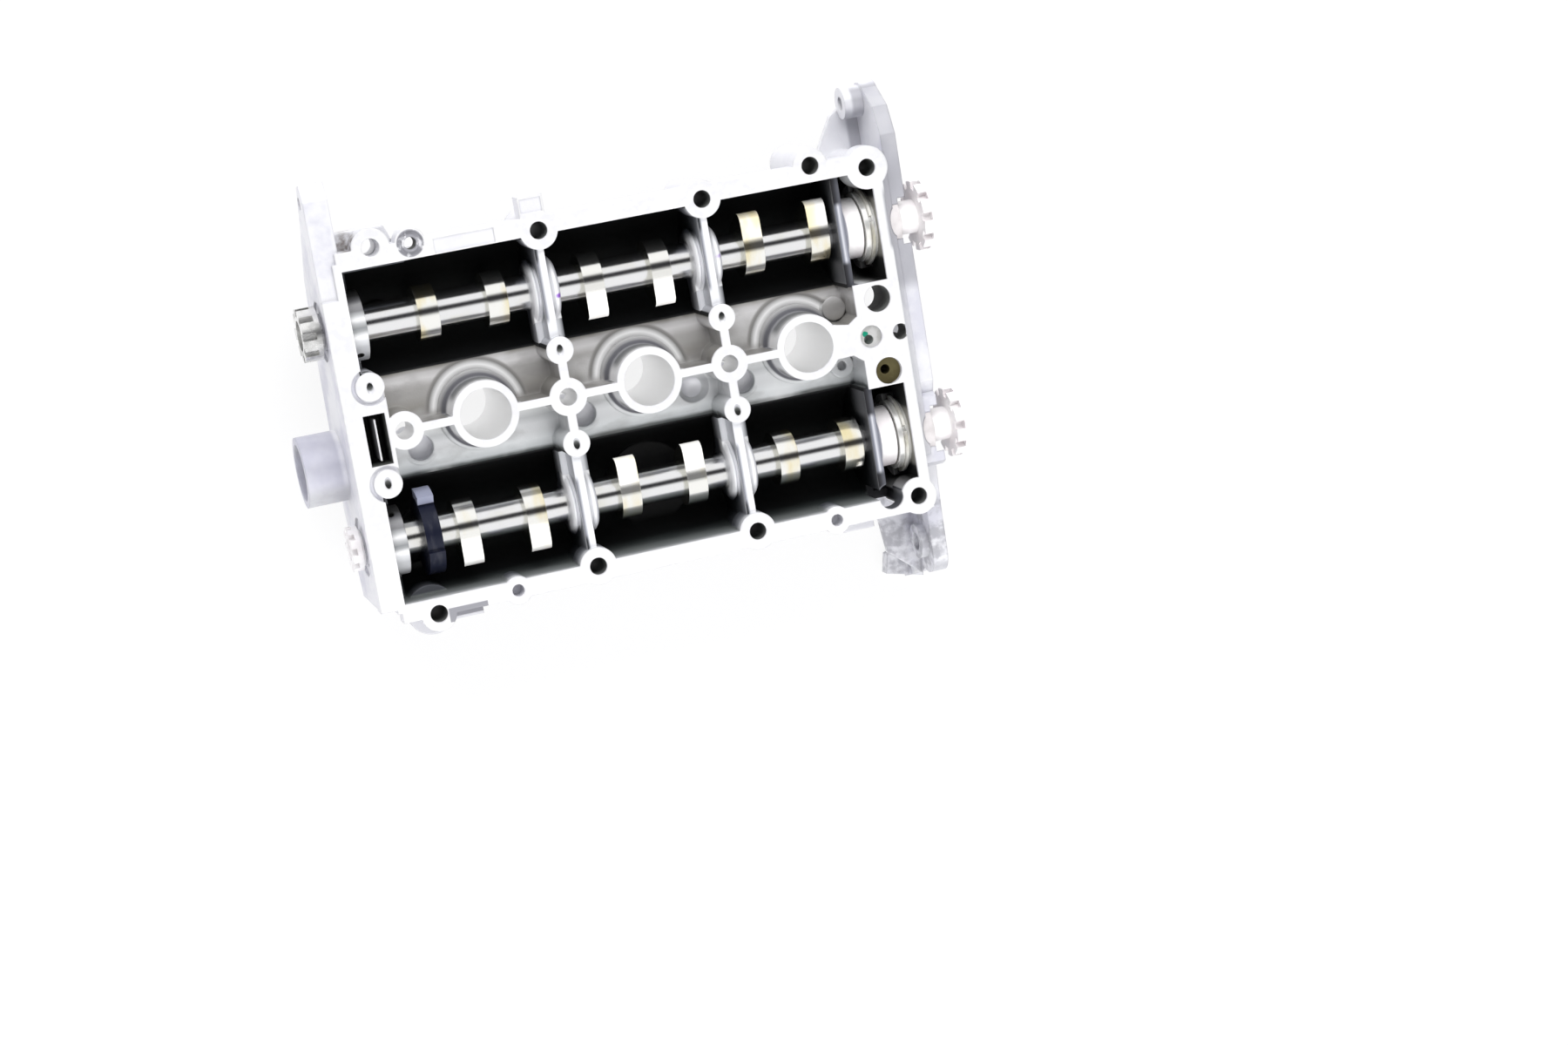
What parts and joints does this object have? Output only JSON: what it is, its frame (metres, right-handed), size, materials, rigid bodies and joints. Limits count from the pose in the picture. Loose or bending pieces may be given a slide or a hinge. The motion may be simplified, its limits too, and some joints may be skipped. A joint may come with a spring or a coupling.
{
  "type": "valve cover with camshafts",
  "caption": "Cast valve cover with both camshafts carried in it, shown from the sealing side, with plug towers, bearing rings, drive noses and bolted end plates.",
  "frame": {"origin": "axis of the middle spark-plug bore at the plane of the sealing face", "axes": "+Z points out of the sealing face, +X runs along the camshafts to the drive end, +Y points to the intake side"},
  "size_m": [0.33, 0.2645, 0.085],
  "materials": {
    "cast_aluminium": "fine cast skin, machined sealing face",
    "ground_steel": "ground bright, oiled",
    "lobe_steel": "ground bright with a straw tint",
    "sintered_steel": "satin, sintered",
    "bearing_steel": "polished",
    "ring_steel": "spring steel, oiled",
    "cage_plastic": "moulded",
    "seal_rubber": "satin",
    "sender_wheel": "blued, nearly black",
    "plated_insert": "olive plating",
    "feed_plug": "turned, satin"
  },
  "bodies": {
    "cover": {"cover_casting": "cast_aluminium", "oil_control_insert": "plated_insert", "oil_feed_plug": "feed_plug", "intake_bearing_outer_ring": "bearing_steel", "intake_retaining_ring": "ring_steel", "intake_shaft_seal": "seal_rubber", "exhaust_bearing_outer_ring": "bearing_steel", "exhaust_retaining_ring": "ring_steel", "exhaust_shaft_seal": "seal_rubber"},
    "intake_camshaft": {"intake_tube": "ground_steel", "intake_drive_nose": "ground_steel", "intake_rear_coupling": "sintered_steel", "intake_bearing_inner_ring": "bearing_steel", "intake_lobe_1": "lobe_steel", "intake_lobe_2": "lobe_steel", "intake_lobe_3": "lobe_steel", "intake_lobe_4": "lobe_steel", "intake_lobe_5": "lobe_steel", "intake_lobe_6": "lobe_steel"},
    "intake_ball_cage": {"intake_bearing_balls": "bearing_steel", "intake_bearing_cage": "cage_plastic"},
    "exhaust_camshaft": {"exhaust_tube": "ground_steel", "exhaust_drive_nose": "ground_steel", "exhaust_rear_coupling": "sintered_steel", "exhaust_bearing_inner_ring": "bearing_steel", "exhaust_lobe_1": "lobe_steel", "exhaust_lobe_2": "lobe_steel", "exhaust_lobe_3": "lobe_steel", "exhaust_lobe_4": "lobe_steel", "exhaust_lobe_5": "lobe_steel", "exhaust_lobe_6": "lobe_steel", "exhaust_trigger_wheel": "sender_wheel"},
    "exhaust_ball_cage": {"exhaust_bearing_balls": "bearing_steel", "exhaust_bearing_cage": "cage_plastic"}
  },
  "joints": [
    {"name": "intake_camshaft_turn", "type": "hinge", "parent": "cover", "child": "intake_camshaft", "pos_m": [0, 0.0515, -0.021], "axis": [1, 0, 0], "continuous": true},
    {"name": "exhaust_camshaft_turn", "type": "hinge", "parent": "cover", "child": "exhaust_camshaft", "pos_m": [0, -0.0545, -0.021], "axis": [1, 0, 0], "continuous": true},
    {"name": "intake_cage_turn", "type": "hinge", "parent": "cover", "child": "intake_ball_cage", "pos_m": [0, 0.0515, -0.021], "axis": [1, 0, 0], "continuous": true},
    {"name": "exhaust_cage_turn", "type": "hinge", "parent": "cover", "child": "exhaust_ball_cage", "pos_m": [0, -0.0545, -0.021], "axis": [1, 0, 0], "continuous": true}
  ],
  "couplings": [
    {"joint": "intake_cage_turn", "follows": "intake_camshaft_turn", "ratio": 0.4077},
    {"joint": "exhaust_cage_turn", "follows": "exhaust_camshaft_turn", "ratio": 0.4077}
  ]
}
